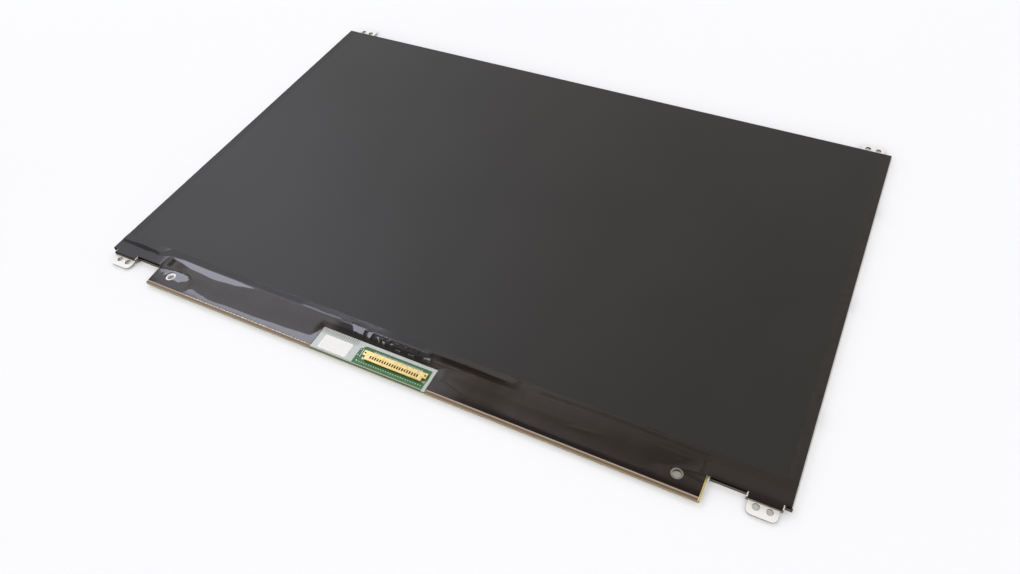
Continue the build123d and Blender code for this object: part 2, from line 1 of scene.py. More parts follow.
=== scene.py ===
# %% [markdown]
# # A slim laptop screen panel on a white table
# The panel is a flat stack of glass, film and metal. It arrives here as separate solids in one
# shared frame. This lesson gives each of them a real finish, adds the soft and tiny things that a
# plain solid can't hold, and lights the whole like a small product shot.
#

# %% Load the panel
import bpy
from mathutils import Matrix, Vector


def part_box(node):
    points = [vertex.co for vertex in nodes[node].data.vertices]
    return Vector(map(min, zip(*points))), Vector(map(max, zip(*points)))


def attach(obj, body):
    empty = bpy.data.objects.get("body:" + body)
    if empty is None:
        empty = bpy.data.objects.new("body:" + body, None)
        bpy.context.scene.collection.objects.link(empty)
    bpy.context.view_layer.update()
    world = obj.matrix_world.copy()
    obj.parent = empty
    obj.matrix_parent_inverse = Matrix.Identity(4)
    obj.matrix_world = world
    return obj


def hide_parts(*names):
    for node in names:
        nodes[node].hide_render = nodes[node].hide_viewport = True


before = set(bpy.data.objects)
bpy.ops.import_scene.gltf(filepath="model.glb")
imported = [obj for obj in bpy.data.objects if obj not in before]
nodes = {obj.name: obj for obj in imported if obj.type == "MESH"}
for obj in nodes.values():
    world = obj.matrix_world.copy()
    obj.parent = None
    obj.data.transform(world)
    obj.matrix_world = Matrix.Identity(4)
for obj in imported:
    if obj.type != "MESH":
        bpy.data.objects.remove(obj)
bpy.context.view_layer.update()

# %% [markdown]
# ## The camera
# The photographer stood at the right of the board's edge, a hand's width above the table, with a
# wide lens, so the near corner looks large. The picture is 1020 by 574 pixels. The camera could be
# aimed with a constraint, but three plain turns are easier to read: heading, tilt down, and a small roll.

# %% Camera
import math
import bpy
from mathutils import Matrix, Vector

scene = bpy.context.scene
scene.view_settings.view_transform = "Standard"
MM = 0.001
picture_width = 1020
focal_pixels = 813.7
centre_pixel = 500.0
heading_angle, tilt_angle, roll_angle = 30.136, 48.143, -4.899
camera_place = Vector((119.54, -217.87, 228.86)) * MM

lens = bpy.data.cameras.new("studio_camera")
lens.sensor_width = 36.0
lens.lens = focal_pixels * lens.sensor_width / picture_width
lens.shift_x = 0.5 - centre_pixel / picture_width
lens.clip_start = 0.01
camera = bpy.data.objects.new("studio_camera", lens)
scene.collection.objects.link(camera)
heading = Matrix.Rotation(math.radians(heading_angle), 4, "Z")
tilt = Matrix.Rotation(math.radians(90.0 - tilt_angle), 4, "X")
roll = Matrix.Rotation(math.radians(roll_angle), 4, "Z")
camera.matrix_world = Matrix.Translation(camera_place) @ heading @ tilt @ roll
scene.camera = camera
print("lens in mm:", round(lens.lens, 2))

# %% [markdown]
# ## Small helpers for finishes
# A finish is a principled shader fed by a few texture nodes. These helpers only shorten the typing:
# one adds a node and fills its sockets, one makes a colour ramp, one turns a grey value into bumps.
# Many finishes let one noise drive colour, gloss and bumps together, as wear and grain do on real
# things, so that has a helper too. All textures use object coordinates, which here are metres in the
# panel's own frame, so a scale of 1000 means one grain per millimetre.

# %% Helpers for finishes
def socket(material, key):
    """The principled shader's socket of this name, written with underscores."""
    return material.node_tree.nodes["Principled BSDF"].inputs[key.replace("_", " ")]


def new_finish(name, **sockets):
    """A material whose principled shader has these plain values on its sockets."""
    material = bpy.data.materials.new(name)
    material.use_nodes = True
    for key, value in sockets.items():
        socket(material, key).default_value = value
    return material


def add(tree, kind, sockets=None, **settings):
    """A new node in a tree of nodes, with settings and socket values."""
    node = tree.nodes.new("ShaderNode" + kind)
    for key, value in settings.items():
        setattr(node, key, value)
    for key, value in (sockets or {}).items():
        node.inputs[key].default_value = value
    return node


def join(output, target):
    """A wire between two sockets. A socket's id_data is the tree that it belongs to."""
    output.id_data.links.new(output, target)


def feed(material, **sources):
    """Join each source to the shader's socket of that name."""
    for key, source in sources.items():
        join(source, socket(material, key))


def ramp(value, stops, stepped=False):
    """A colour for each grey value: stops are (place, (r, g, b))."""
    node = add(value.id_data, "ValToRGB")
    bar = node.color_ramp
    bar.interpolation = "CONSTANT" if stepped else "LINEAR"
    while len(bar.elements) < len(stops):
        bar.elements.new(0.5)
    for element, (place, colour) in zip(bar.elements, stops):
        element.position = place
        element.color = (*colour, 1.0)
    join(value, node.inputs["Fac"])
    return node.outputs["Color"]


def two_tone(value, dark, light, places=(0.3, 0.7)):
    """A colour between two tones. Most noise values lie between these two places."""
    return ramp(value, list(zip(places, (dark, light))))


def spread(value, low, high):
    """Stretch a 0 to 1 value to another range."""
    node = add(value.id_data, "MapRange", {"To Min": low, "To Max": high})
    join(value, node.inputs["Value"])
    return node.outputs["Result"]


def grain(material, scale, detail=4.0, stretch=(1.0, 1.0, 1.0)):
    """Noise in the panel's frame, with scale in grains per metre."""
    tree = material.node_tree
    place = add(tree, "TexCoord")
    turn = add(tree, "Mapping", {"Scale": stretch})
    noise_node = add(tree, "TexNoise", {"Scale": scale, "Detail": detail})
    join(place.outputs["Object"], turn.inputs["Vector"])
    join(turn.outputs["Vector"], noise_node.inputs["Vector"])
    return noise_node.outputs[0]


def bumps(material, height, distance, strength):
    """Feed a grey value to the shader's normal as bumps this many metres high."""
    node = add(height.id_data, "Bump", {"Distance": distance, "Strength": strength})
    join(height, node.inputs["Height"])
    feed(material, Normal=node.outputs["Normal"])


def grained_finish(name, noise, tones, rough, bump=None, places=(0.3, 0.7), **sockets):
    """A finish whose colour, gloss and bumps all follow one noise, given by its scale and detail."""
    material = new_finish(name, **sockets)
    value = grain(material, *noise)
    feed(material, Base_Color=two_tone(value, *tones, places))
    feed(material, Roughness=spread(value, *rough))
    if bump:
        bumps(material, value, *bump)
    return material


def paint(material, *names):
    """Give these solids the finish."""
    for name in names:
        nodes[name].data.materials.clear()
        nodes[name].data.materials.append(material)


print("helpers ready")

# %% [markdown]
# ## The matt screen
# The big dark rectangle is a polarising film with a fine anti-glare texture. It is nearly black and
# spreads reflections out, so it looks dark grey, lighter where it mirrors the window. A rough
# dielectric does just that. The texture itself is far finer than a pixel, so it goes into
# roughness and a very shallow bump rather than into the mesh.

# %% Screen film
screen_film = new_finish("screen_film", IOR=1.5)
cloud = grain(screen_film, 22.0, 3.0)
frosting = grain(screen_film, 2600.0, 2.0)
film_black = two_tone(cloud, (0.0105, 0.009, 0.0068), (0.014, 0.0122, 0.0096))
feed(screen_film, Base_Color=film_black, Roughness=spread(frosting, 0.38, 0.5))
bumps(screen_film, frosting, 0.000012, 0.5)
paint(screen_film, "front_polariser")
print("screen film on front_polariser")

# %% [markdown]
# ## Black tapes
# Polyester tape is smooth and glossy on a brown-black pigment. The narrow tapes at the rim are stuck
# down flat. The wide one at the board's edge is loose and wrinkled, and becomes a mesh of its own below.

# %% Tape finishes
black_tape = new_finish("black_tape", IOR=1.5)
smear = grain(black_tape, 160.0, 5.0)
mottled = two_tone(smear, (0.024, 0.0185, 0.0150), (0.034, 0.0262, 0.0212), (0.3, 0.75))
feed(black_tape, Roughness=spread(smear, 0.05, 0.09))
bumps(black_tape, grain(black_tape, 1300.0, 3.0), 0.000002, 0.3)
paint(black_tape, "shading_tape")

rim_tones = (0.025, 0.0228, 0.0208), (0.033, 0.0300, 0.0275)
rim_black = grained_finish("rim_black", (420.0, 4.0), rim_tones, (0.3, 0.44), (0.00001, 0.4), IOR=1.33)
paint(rim_black, "edge_tape_left", "edge_tape_right", "edge_tape_top", "rim_tape")
print("tape finishes made")

# %% [markdown]
# ## The wide shading tape
# On the real panel this tape starts on the glass, drops over the driver films to the circuit board
# and is stuck down by hand, so it is flat in some places, bridges in others and has folds near the
# socket. The finish alone can't show that: gloss reads the slope of the surface. So the tape is a
# fine grid of points, each lifted to a height that a few lines give.
#
# Lines run along X. Each is a short list of (x, y) in millimetres, joined smoothly. Between the
# first two lines the tape climbs down from the screen film. From the second to the third it lies flat
# on the glass, and there it mirrors the window as a long lens. At the last line it reaches the board.

# %% Lines of the tape
glass_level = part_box("colour_filter_glass")[1][2] / MM
board_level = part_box("shading_tape")[0][2] / MM
film_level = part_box("front_polariser")[1][2] / MM
tape_thickness = 0.06
tape_back = -77.56
tape_front = -93.65

climb_top = [
    (-136, -80.6), (-131.5, -80.6), (-128, -80.2), (-124, -80.1), (-119, -80.5), (-116, -80.8),
    (-114.2, -79.6), (-112.4, -77.5), (136, -77.5),
]
climb_foot = [
    (-136, -81.9), (-130.4, -81.9), (-126.3, -82.1), (-122, -82.3), (-118, -81.9), (-114.9, -82.3),
    (-112.8, -81.9), (-110.6, -80.9), (-107, -80.6), (-103, -80.2), (-91, -80.6), (-78, -80.6),
    (-67, -81.0), (136, -81.0),
]
leave_glass = [
    (-136, -83.2), (-112.2, -83.2), (-110.4, -81.1), (-108.5, -80.95), (-106, -81.5), (-96, -83.1),
    (-85.5, -83.8), (-76.5, -83.0), (-70.5, -81.8), (-67, -81.05), (136, -81.05),
]
reach_board = [
    (-111, -93.8), (-96, -93.8), (-93.6, -93.2), (-92.4, -91.2), (-91.0, -90.4), (-86.4, -91.3),
    (-80.2, -92.2), (-72, -91.8), (-62, -91.8), (-49, -91.3), (-36, -90.6), (-32, -85.7), (14, -85.7),
    (18, -88.6), (30, -91.2), (60, -91.9), (90, -91.4), (96, -88.0), (101, -86.3), (110, -86.3),
]


def ease(value, low, high):
    """0 below low, 1 above high, smooth between."""
    t = min(max((value - low) / (high - low), 0.0), 1.0)
    return t * t * (3 - 2 * t)


def along(line, x):
    """The line's y at this x, eased between its points."""
    for (x0, y0), (x1, y1) in zip(line, line[1:]):
        if x <= x1:
            return y0 + (y1 - y0) * ease(x, x0, x1)
    return line[-1][1]


print("tape levels in mm:", round(glass_level, 2), round(board_level, 2))

# %% [markdown]
# ### Its height without folds
# Read from back to front, the tape climbs down from the screen film, lies on the glass, drops to the
# board and lies there. The driver films and chips under it must stay under it, so their own profile
# is the least height. At both ends of the board the frame's corners hold the tape up.

# %% Height of the smooth tape
import numpy as np

under_y = [-86.3, -85.3, -83.9, -82.9, -81.5, -81.1]
under_z = [1.965, 1.965, 2.46, 2.665, 2.75, 2.78]
back_slope = 0.0167
sag = 0.04
held_left, held_right, held_front = (109.4, 111.2), (98.0, 111.0), (-88.6, -86.2)
past_board = 111.0


def bridge(x, y):
    """Height of the tape with no folds."""
    high, low = along(climb_top, x), along(climb_foot, x)
    top, foot = along(leave_glass, x), along(reach_board, x)
    if y > top:
        crest = film_level - tape_thickness - back_slope * max(tape_back - high, 0.0)
        t = min(max((y - low) / (high - low), 0.0), 1.0)
        height = glass_level + (crest - glass_level) * t + back_slope * max(y - high, 0.0)
    else:
        t = min((top - y) / (top - foot), 1.0)
        height = glass_level + (board_level - glass_level) * (t - sag * math.sin(2 * math.pi * t))
    held = ease(-x, *held_left) + ease(x, *held_right)
    held *= ease(y, *held_front) if abs(x) < past_board else 1.0
    height += (glass_level - height) * held if height < glass_level else 0.0
    return max(height, board_level, float(np.interp(y, under_y, under_z)))


print("at the lens:", round(bridge(-88, -82), 3), "on the board:", round(bridge(-60, -93), 3))

# %% [markdown]
# ### Its folds
# A ridge is a low crest along a line, steeper on one side. A plate is a small facet with straight
# sides that lies at its own level and lean, which is what a crushed tape looks like close up. The
# pleat is one stiff fold behind the socket: a straight slope between two lines.

# %% Folds of the tape
from mathutils import noise

ridges = [
    # line, first x, last x, height, reach to the front, reach to the back
    ([(-48, -80.4), (-42, -80.4), (-36, -80.5), (-28, -80.35)], -43, -31, 0.042, 0.6, 0.55),
    ([(50, -80.4), (75, -79.8), (110, -80.2)], 52, 108, 0.025, 1.4, 1.4),
    ([(60, -88.0), (68, -86.9), (74, -86.4)], 66, 73, 0.05, 1.2, 0.7),
    ([(17, -86.0), (30, -85.6), (52, -86.2), (80, -86.0)], 20, 76, 0.03, 2.2, 1.8),
]
ridge_fade_out, ridge_fade_in = 4, 2
ring_facet = [
    (-111.6, -87.2), (-109.0, -86.5), (-103.3, -85.6), (-96.9, -85.5), (-94.3, -87.0), (-94.6, -88.7),
    (-97.5, -90.0), (-101.0, -89.9), (-106.5, -88.9), (-110.8, -87.9),
]
plates = [
    # corners clockwise, level at the middle, lean along x, lean along y
    (ring_facet, 2.17, 0.0, 0.0),
    ([(-23.6, -79.9), (-17.6, -80.2), (-16.5, -83.4), (-21.4, -83.3)], 2.80, 0.004, 0.004),
    ([(-16.0, -80.8), (-13.8, -80.7), (-13.5, -83.9), (-15.6, -83.5)], 2.80, 0.02, -0.01),
    ([(-12.2, -81.8), (-10.6, -81.9), (-9.0, -83.5), (-10.2, -83.7)], 2.77, 0.03, 0.0),
    ([(-9.6, -82.4), (-8.4, -82.3), (-6.9, -84.1), (-8.0, -84.2)], 2.66, 0.02, -0.02),
    ([(-5.9, -81.8), (-5.0, -82.0), (-4.2, -83.2), (-5.2, -83.3)], 2.70, 0.05, 0.0),
    ([(-3.2, -83.4), (-0.6, -83.9), (-0.4, -84.4), (-3.0, -84.1)], 2.50, 0.04, -0.03),
    ([(2.0, -83.3), (4.8, -83.7), (5.0, -84.2), (2.2, -83.9)], 2.55, 0.05, -0.03),
    ([(7.6, -82.6), (10.9, -82.3), (11.3, -83.6), (8.2, -83.8)], 2.72, 0.05, 0.02),
]
border_shift_x, border_shift_y, border_grain = 0.22, 0.30, 0.9
border_out, border_in = -0.12, 0.1
pleat_crest = [(5, -79.9), (9, -79.9), (15, -79.7), (25, -79.55), (36.5, -80.15), (46, -80.4)]
pleat_foot = [
    (5, -82.2), (10, -82.2), (16, -81.6), (21.5, -81.85), (26, -81.4), (37, -81.25), (46, -80.45),
]
pleat_start, pleat_end = (6.0, 10.0), (38.0, 46.0)
pleat_level, pleat_slope, pleat_drop = 2.92, 0.06, 0.2


def fold(x, y):
    """Extra height of the tape from its ridges, in millimetres."""
    lift = 0.0
    for line, first, last, height, front, back in ridges:
        start, end = first - ridge_fade_out, last + ridge_fade_out
        if start < x < end:
            away = y - along(line, x)
            share = max(0.0, 1 - abs(away) / (back if away > 0 else front))
            ends = ease(x, start, first + ridge_fade_in) * (1 - ease(x, last - ridge_fade_in, end))
            lift += height * share * ends
    return lift


def pleat(x, y, height):
    """The height after the pleat."""
    share = ease(x, *pleat_start) * (1 - ease(x, *pleat_end))
    crest, foot = along(pleat_crest, x), along(pleat_foot, x)
    plane = pleat_level - pleat_slope * (crest - min(max(y, foot), crest))
    plane -= pleat_drop * max(foot - y, 0.0)
    return height + max(plane - height, 0.0) * share


def depth_inside(corners, x, y):
    """How far a place lies inside a facet, in millimetres: below zero outside."""
    sides = zip(corners, corners[1:] + corners[:1])
    return min(((bx - ax) * (y - ay) - (by - ay) * (x - ax)) / -math.hypot(bx - ax, by - ay)
               for (ax, ay), (bx, by) in sides)


def flatten(x, y, height):
    """The height after the plates, whose borders are a little soft and uneven."""
    x += border_shift_x * noise.noise(Vector((x / border_grain, y / border_grain, 3.0)))
    y += border_shift_y * noise.noise(Vector((x / border_grain, y / border_grain, 5.0)))
    for corners, level, lean_x, lean_y in plates:
        inside = depth_inside(corners, x, y)
        if inside > border_out:
            mid_x = sum(corner[0] for corner in corners) / len(corners)
            mid_y = sum(corner[1] for corner in corners) / len(corners)
            plane = level + lean_x * (x - mid_x) + lean_y * (y - mid_y)
            height += (plane - height) * ease(inside, border_out, border_in)
    return height


print("folds:", len(ridges), "ridges,", len(plates), "plates and one pleat")

# %% [markdown]
# ### Its cut outline
# The grid follows the tape's cut outline: a long strip on the glass, a tongue over each frame boss,
# a broad apron on the board, a window for the socket and two round holes. Past the frame's front
# edge a narrow lip folds down. Grid lines fall on every straight cut, and the points nearest to a
# hole slide onto its circle, so all cuts stay clean. A faint ripple keeps the flat parts alive.

# %% Outline of the tape
import bmesh

tape_end, tongue_in, tongue_out = 135.55, 122.9, 133.2
notch_in, notch_out, corner_in = 111.2, 122.5, 133.6
apron_left, apron_right, lens_left = -110.5, 109.9, -93.0
window_left, window_right, window_back = -32.7, 15.2, -85.15
frame_edge, tongue_edge = -86.05, -87.85
frame_lip, tongue_lip = 1.4, 0.9
lip_bend, lip_radius = 0.25, 0.16
cuts_x = [
    -tape_end, -corner_in, -tongue_out, -tongue_in, -notch_out, apron_left, lens_left, window_left,
    window_right, apron_right, notch_in, notch_out, tongue_in, tongue_out, corner_in, tape_end,
]
cuts_y = [
    tape_front, tongue_edge - tongue_lip, tongue_edge, frame_edge - frame_lip, frame_edge, window_back,
    tape_back,
]
tape_holes = [(-103.2, -88.85), (101.5, -88.85)]
tape_hole_radius, hole_pull = 2.03, 0.3
broad_ripple, fine_ripple, crush_depth = 0.010, 0.0012, 0.05


def steps(cuts, pitch, fine_pitch, fine_from, fine_to):
    """Evenly divided places between the cuts, closer together in the fine range."""
    places = [cuts[0]]
    for low, high in zip(cuts, cuts[1:]):
        fine = fine_from <= low and high <= fine_to
        count = max(1, round((high - low) / (fine_pitch if fine else pitch)))
        places += [low + (high - low) * i / count for i in range(1, count + 1)]
    return places


def on_tape(x, y):
    """Whether the cut tape covers this place."""
    if any(math.hypot(x - hx, y - hy) < tape_hole_radius for hx, hy in tape_holes):
        return False
    if window_left < x < window_right and y < window_back:
        return False
    if y > frame_edge or apron_left < x < apron_right:
        return True
    if tongue_in < abs(x) < tongue_out:
        return y > tongue_edge - tongue_lip
    return y > frame_edge - frame_lip and (notch_in < abs(x) < notch_out or abs(x) > corner_in)


def ripple(x, y):
    """The tape's faint unevenness, stronger in the crushed part behind the socket."""
    crushed = ease(x, -13.5, -11.0) * (1 - ease(x, 5.0, 10.0)) * (1 - ease(y, -81.2, -80.4))
    wave = broad_ripple * noise.noise(Vector((x / 14.0, y / 6.0, 2.0)))
    wave += fine_ripple * noise.noise(Vector((x / 2.2, y / 1.6, 7.0)))
    return abs(wave + crush_depth * crushed * abs(noise.noise(Vector((x / 1.9, y / 1.4, 11.0)))))


def tape_point(x, y):
    """A grid point in metres, slid onto a hole's circle where it is close to one."""
    for hx, hy in tape_holes:
        away = math.hypot(x - hx, y - hy)
        if abs(away - tape_hole_radius) < hole_pull:
            x = hx + (x - hx) * tape_hole_radius / away
            y = hy + (y - hy) * tape_hole_radius / away
    edge = tongue_edge if tongue_in - 0.01 < abs(x) < tongue_out + 0.01 else frame_edge
    over = edge - y if abs(x) > past_board else 0.0
    flat_y = max(y, edge) if abs(x) > past_board else y
    height = pleat(x, flat_y, bridge(x, flat_y) + fold(x, flat_y))
    height = flatten(x, flat_y, height) + ripple(x, y)
    if over > 0:
        bend = min(over / lip_bend, math.pi / 2)
        flat_y -= lip_radius * math.sin(bend)
        height -= lip_radius * (1 - math.cos(bend)) + max(over - lip_bend * math.pi / 2, 0.0)
    return Vector((x, flat_y, min(height, film_level - tape_thickness))) * MM


print("tape runs from", tape_front, "to", tape_back)

# %% [markdown]
# ### From grid to thin skin
# One helper turns such a grid into a closed thin skin with an upper side, an under side and cut
# edges. It is written once, because the shielding film in the tape's window is made the same way.

# %% Thin skins from a grid
def new_piece(name, mesh, material):
    """A piece made of this mesh, which rides on the panel."""
    data = bpy.data.meshes.new(name)
    mesh.to_mesh(data)
    mesh.free()
    data.materials.append(material)
    piece = bpy.data.objects.new(name, data)
    scene.collection.objects.link(piece)
    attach(piece, "root")
    return piece


def build_skin(name, xs, ys, covered, place, thickness, material):
    """A closed sheet over a grid's covered cells, or over the corners kept of a cut cell."""
    mesh = bmesh.new()
    upper, under = {}, {}
    drop = Vector((0, 0, thickness * MM))

    def corner(i, j):
        if (i, j) not in upper:
            point = place(xs[i], ys[j])
            upper[i, j] = mesh.verts.new(point + drop)
            under[i, j] = mesh.verts.new(point)
        return (i, j)

    for i in range(len(xs) - 1):
        for j in range(len(ys) - 1):
            kept = covered((xs[i] + xs[i + 1]) / 2, (ys[j] + ys[j + 1]) / 2)
            if kept:
                around = ((i, j), (i + 1, j), (i + 1, j + 1), (i, j + 1))
                ring = [corner(*around[k]) for k in (range(4) if kept is True else kept)]
                mesh.faces.new([upper[k] for k in ring]).smooth = True
                mesh.faces.new([under[k] for k in reversed(ring)]).smooth = True
    below = {upper[k]: under[k] for k in upper}
    rim = [edge for edge in mesh.edges if len(edge.link_faces) == 1 and edge.verts[0] in below]
    for edge in rim:
        loop = edge.link_loops[0]
        a, b = loop.vert, loop.link_loop_next.vert
        mesh.faces.new([b, a, below[a], below[b]])
        edge.smooth = False
    for edge in mesh.edges:
        if len(edge.link_faces) == 2 and edge.link_faces[0].smooth != edge.link_faces[1].smooth:
            edge.smooth = False
    return new_piece(name, mesh, material)


tape_x = steps(cuts_x, 0.46, 0.24, window_left, window_right)
tape_y = steps(cuts_y, 0.3, 0.22, -86.1, -77.0)
wide_tape = build_skin("wide_tape", tape_x, tape_y, on_tape, tape_point, tape_thickness, black_tape)
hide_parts("shading_tape")
print("wide tape faces:", len(wide_tape.data.polygons))

# %% [markdown]
# ## Finishes that know where they are
# One solid often shows more than one material: a board is green on top and brown where it was sawn.
# Instead of cutting the solid up, a finish can measure its own place in the panel and the way that
# it faces, and choose its colour from that. A share is a value from 0 to 1, black to white.

# %% Measuring inside a finish
off, on = (0, 0, 0), (1, 1, 1)


def measure(material, axis, start, end):
    """0 at start and 1 at end, in millimetres along one axis of the panel."""
    tree = material.node_tree
    place = add(tree, "TexCoord")
    split = add(tree, "SeparateXYZ")
    join(place.outputs["Object"], split.inputs["Vector"])
    node = add(tree, "MapRange", {"From Min": start * MM, "From Max": end * MM})
    join(split.outputs[axis], node.inputs["Value"])
    return node.outputs["Result"]


def bands(material, axis, start, end, stops, stepped=True):
    """Colours along one axis: sharp bands, or soft fades where stepped is False."""
    return ramp(measure(material, axis, start, end), stops, stepped)


def blend(share, first, second):
    """First colour where share is 0, second where it is 1."""
    node = add(share.id_data, "Mix", data_type="RGBA")
    join(share, node.inputs[0])
    for source, target in ((first, node.inputs[6]), (second, node.inputs[7])):
        if isinstance(source, tuple):
            target.default_value = (*source, 1.0)
        else:
            join(source, target)
    return node.outputs[2]


def faces(material, axis, sign, least):
    """1 where the surface faces along an axis (sign 0: either way), else 0."""
    tree = material.node_tree
    facing = add(tree, "NewGeometry")
    split = add(tree, "SeparateXYZ")
    join(facing.outputs["Normal"], split.inputs["Vector"])
    if sign:
        turned = add(tree, "Math", {1: float(sign)}, operation="MULTIPLY")
    else:
        turned = add(tree, "Math", operation="ABSOLUTE")
    join(split.outputs[axis], turned.inputs[0])
    node = add(tree, "Math", {1: least}, operation="GREATER_THAN")
    join(turned.outputs[0], node.inputs[0])
    return node.outputs[0]


def both_true(first, second, operation="MULTIPLY"):
    """The product of two shares."""
    node = add(first.id_data, "Math", operation=operation)
    join(first, node.inputs[0])
    join(second, node.inputs[1])
    return node.outputs[0]


def either_true(first, second):
    """The greater of two shares."""
    return both_true(first, second, "MAXIMUM")


print("measuring helpers ready")

# %% [markdown]
# ### Where the tape is dull
# The tape isn't equally glossy all over. Where it was rubbed down, on the glass and at its left end, it
# is duller. Behind the socket it was pressed into a gap, and there the leaning parts of its folds are
# less glossy and painted near black as shade, while the flat facets between them still shine. From
# x = 30 mm to the right it is painted gradually darker, and darker still and less glossy in a strip
# along its front edge there and near the frame's edge at the right end. The pleat's slope is painted
# dark as shade, and the faces that face the front, chiefly the lip over the frame, are matt and painted
# near black as shade. The finish finds each by its place and the way that it faces.

# %% Dull places of the tape
tape_gloss = 0.5
behind_lens = measure(black_tape, "Y", -80.5, -79.9)
rubbed_glass = both_true(behind_lens, measure(black_tape, "X", 40.0, 5.0))
rubbed = either_true(rubbed_glass, measure(black_tape, "X", -108.8, -110.2))

# painted gradually darker from x = 30 mm to x = 118 mm
darker_to_right = measure(black_tape, "X", 30.0, 118.0)

# darker, less glossy strips along the front edge at the right and near the frame's edge at the right end
front_strip = measure(black_tape, "Y", -91.2, -92.8)
front_strip = both_true(front_strip, measure(black_tape, "X", 15.0, 40.0))
tongue_strip = measure(black_tape, "Y", -84.4, -86.4)
tongue_strip = both_true(tongue_strip, measure(black_tape, "X", 110.0, 112.0))
dark_front_strips = either_true(front_strip, tongue_strip)

pleat_span = bands(black_tape, "X", 12.0, 48.0, [(0.0, off), (0.08, on), (0.66, on), (1.0, off)], False)
pleat_face = bands(black_tape, "Y", -83.0, -79.0, [(0.16, off), (0.26, on), (0.70, on), (0.78, off)], False)
shaded_pleat = both_true(pleat_span, pleat_face)
beside_span = bands(black_tape, "X", 18.0, 46.0, [(0.0, off), (0.4, on), (0.65, on), (1.0, off)], False)
beside_pleat = both_true(beside_span, measure(black_tape, "Y", -82.2, -83.2))

# painted shade: the leaning faces of the folds behind the socket are near black and less glossy
gap_span = bands(black_tape, "X", -31.0, 13.0, [(0.0, off), (0.1, on), (0.9, on), (1.0, off)], False)
gap_depth = bands(black_tape, "Y", -86.0, -80.0, [(0.0, on), (0.9, on), (0.98, off)], False)
leaning = spread(faces(black_tape, "Z", 1, 0.9987), 1.0, 0.0)
dull_shaded_folds = both_true(both_true(gap_span, gap_depth), leaning)

# painted shade: faces that face the front, chiefly the lip, are near black and matt
matt_shaded_front = faces(black_tape, "Y", -1, 0.6)

dull_places = [
    # share, colour there, gloss there
    (rubbed, (0.026, 0.0242, 0.0236), 0.26),
    (beside_pleat, None, 0.26),
    (darker_to_right, (0.0165, 0.0118, 0.0088), None),
    (dark_front_strips, (0.010, 0.0062, 0.0065), 0.3),
    (shaded_pleat, (0.015, 0.0102, 0.0082), 0.15),
    (dull_shaded_folds, (0.012, 0.0098, 0.0088), 0.2),
    (matt_shaded_front, (0.004, 0.003, 0.0025), 0.08),
]
tape_colour, gloss = mottled, (tape_gloss,) * 3
for share, colour, level in dull_places:
    tape_colour = blend(share, tape_colour, colour) if colour else tape_colour
    gloss = blend(share, gloss, (level,) * 3) if level else gloss
feed(black_tape, Base_Color=tape_colour, Specular_IOR_Level=gloss)
print("kinds of dull places on the tape:", len(dull_places))

# %% [markdown]
# ## Bare metal
# The tray and its ears are thin rolled steel with a bright plated skin. Rolling leaves faint lines in
# one direction, and handling leaves fine scratches. Stretched noise gives the lines, and a second,
# broader noise varies the tone of the plating. The ears' cut edges and the walls of their holes are
# painted near black as shade, and the sides of the brackets that face right are painted grey-brown as
# shade. The underside is a darker grey, and under the ears it is painted near black as shade. Along the
# front, the faces that face the front are painted dark brown. The finish finds each of these by where
# it is and which way it faces.

# %% Tray metal
cover_metal = new_finish("cover_metal")
rolled = grain(cover_metal, 700.0, 6.0, (0.06, 1.0, 1.0))
haze = grain(cover_metal, 90.0, 4.0)
plated = two_tone(haze, (0.89, 0.887, 0.885), (0.93, 0.93, 0.93))

past_body = bands(cover_metal, "Y", -100.0, 100.0, [(0.0, on), (0.0605, off), (0.945, on)])
# painted shade: the ears' cut edges and the walls of their holes are near black
edge_and_hole_shade = blend(past_body, plated, (0.09, 0.088, 0.085))
skin = blend(faces(cover_metal, "Z", 0, 0.5), edge_and_hole_shade, plated)

front_part = bands(cover_metal, "Y", -100.0, -70.0, [(0.0, on), (0.5, off)])
# painted shade: at the front, faces that face right (the brackets' sides) are grey-brown
gusset_side_shade = both_true(faces(cover_metal, "X", 1, 0.7), front_part)
skin = blend(gusset_side_shade, skin, (0.20, 0.18, 0.155))

# the underside is darker grey, and under the ears painted near black as shade
underside_grey_and_shade = blend(past_body, (0.36, 0.355, 0.345), (0.10, 0.098, 0.095))
skin = blend(faces(cover_metal, "Z", -1, 0.5), skin, underside_grey_and_shade)

# the faces along the front that face the front are painted dark brown
behind_ears = bands(cover_metal, "Y", -88.6, -84.6, [(0.0, off), (0.5, on)])
dark_front_edge = both_true(faces(cover_metal, "Y", -1, 0.7), behind_ears)
skin = blend(dark_front_edge, skin, (0.07, 0.058, 0.046))
feed(cover_metal, Base_Color=skin, Metallic=spread(past_body, 0.85, 0.15))
feed(cover_metal, Roughness=spread(rolled, 0.45, 0.65))
bumps(cover_metal, rolled, 0.000008, 0.5)
paint(cover_metal, "rear_cover")
print("tray metal on rear_cover")

# %% [markdown]
# ## The plastic frame and the glass
# The frame is grey-brown moulded plastic with a fine spark-eroded grain. Its tone steps along Y: a
# little paler on the front of the bosses, and painted near black as shade on its front wall in the
# notches. The two glass plates only show as thin edges and as a narrow dark strip beside the tape.

# %% Frame and glass
frame_plastic = new_finish("frame_plastic", IOR=1.5)
moulded = grain(frame_plastic, 3200.0, 3.0)
# paler on the bosses' front, painted near black as shade on the front wall in the notches, mid behind
frame_tones_and_shade = [(0.0, (0.17, 0.142, 0.112)), (0.375, (0.062, 0.051, 0.041)), (0.525, (0.15, 0.125, 0.10))]
frame_colour_and_shade = bands(frame_plastic, "Y", -88.0, -84.0, frame_tones_and_shade)
dusty = spread(grain(frame_plastic, 60.0), 0.0, 0.3)
feed(frame_plastic, Base_Color=blend(dusty, frame_colour_and_shade, (0.05, 0.041, 0.032)))
feed(frame_plastic, Roughness=spread(moulded, 0.42, 0.62))
bumps(frame_plastic, moulded, 0.00002, 0.5)
paint(frame_plastic, "mould_frame")

